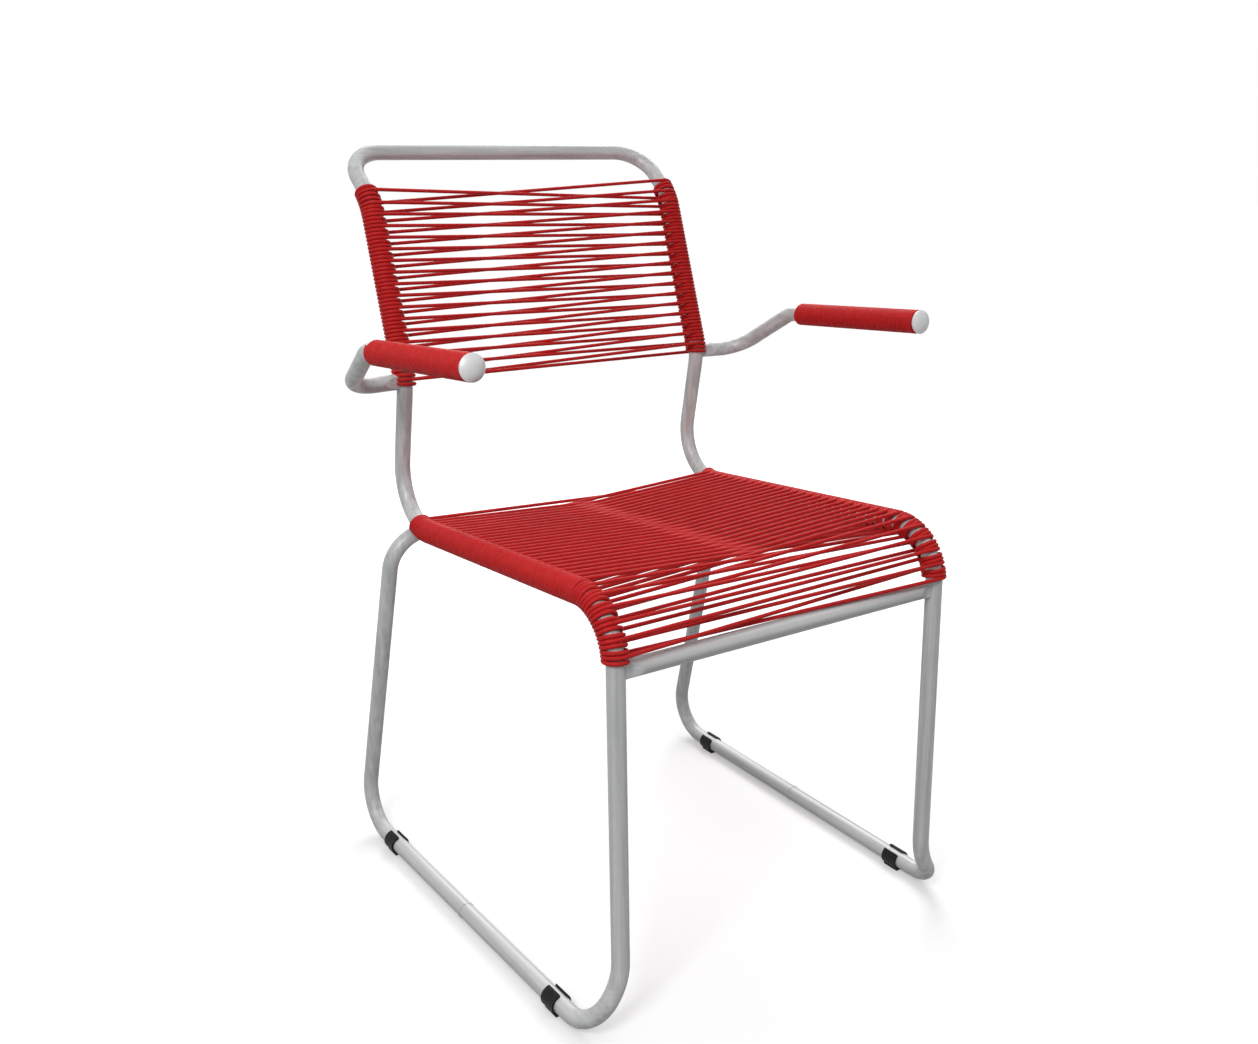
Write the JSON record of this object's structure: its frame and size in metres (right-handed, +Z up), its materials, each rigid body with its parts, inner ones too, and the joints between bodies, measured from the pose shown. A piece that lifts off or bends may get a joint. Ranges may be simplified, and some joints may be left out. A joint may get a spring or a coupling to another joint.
{
  "type": "corded armchair",
  "caption": "Stacking armchair of bent galvanised tube with red plastic cord laced over seat and back and wound on the armrests, on black floor glides.",
  "frame": {"origin": "on the floor, at the middle of the bounding box's base", "axes": "+Z up, +X to the right for someone who looks at the chair from the front, -Y the way the sitter faces"},
  "size_m": [0.5922, 0.5779, 0.8313],
  "materials": {
    "galvanised_tube": "hot-dip galvanised, satin with cloudy spangle and lengthwise streaks",
    "red_cord": "satin-gloss PVC cord",
    "black_plastic": "matte",
    "cap_metal": "satin"
  },
  "bodies": {
    "root": {"arm_cap_left": "cap_metal", "arm_cap_right": "cap_metal", "arm_tube_left": "galvanised_tube", "arm_tube_right": "galvanised_tube", "arm_winding_front_left": "red_cord", "arm_winding_front_right": "red_cord", "arm_winding_rear_left": "red_cord", "arm_winding_rear_right": "red_cord", "back_frame": "galvanised_tube", "back_strands_from_left": "red_cord", "back_strands_from_right": "red_cord", "back_winding_lower_left": "red_cord", "back_winding_lower_right": "red_cord", "back_winding_upper_left": "red_cord", "back_winding_upper_right": "red_cord", "front_cross_rail": "galvanised_tube", "glide_front_left": "black_plastic", "glide_front_right": "black_plastic", "glide_rear_left": "black_plastic", "glide_rear_right": "black_plastic", "rear_leg_left": "galvanised_tube", "rear_leg_right": "galvanised_tube", "runner_weld_left": "galvanised_tube", "runner_weld_right": "galvanised_tube", "seat_frame_left": "galvanised_tube", "seat_frame_right": "galvanised_tube", "seat_strands_from_left": "red_cord", "seat_strands_from_right": "red_cord", "seat_winding_bend_left": "red_cord", "seat_winding_bend_right": "red_cord", "seat_winding_rail_left": "red_cord", "seat_winding_rail_right": "red_cord"}
  },
  "joints": []
}
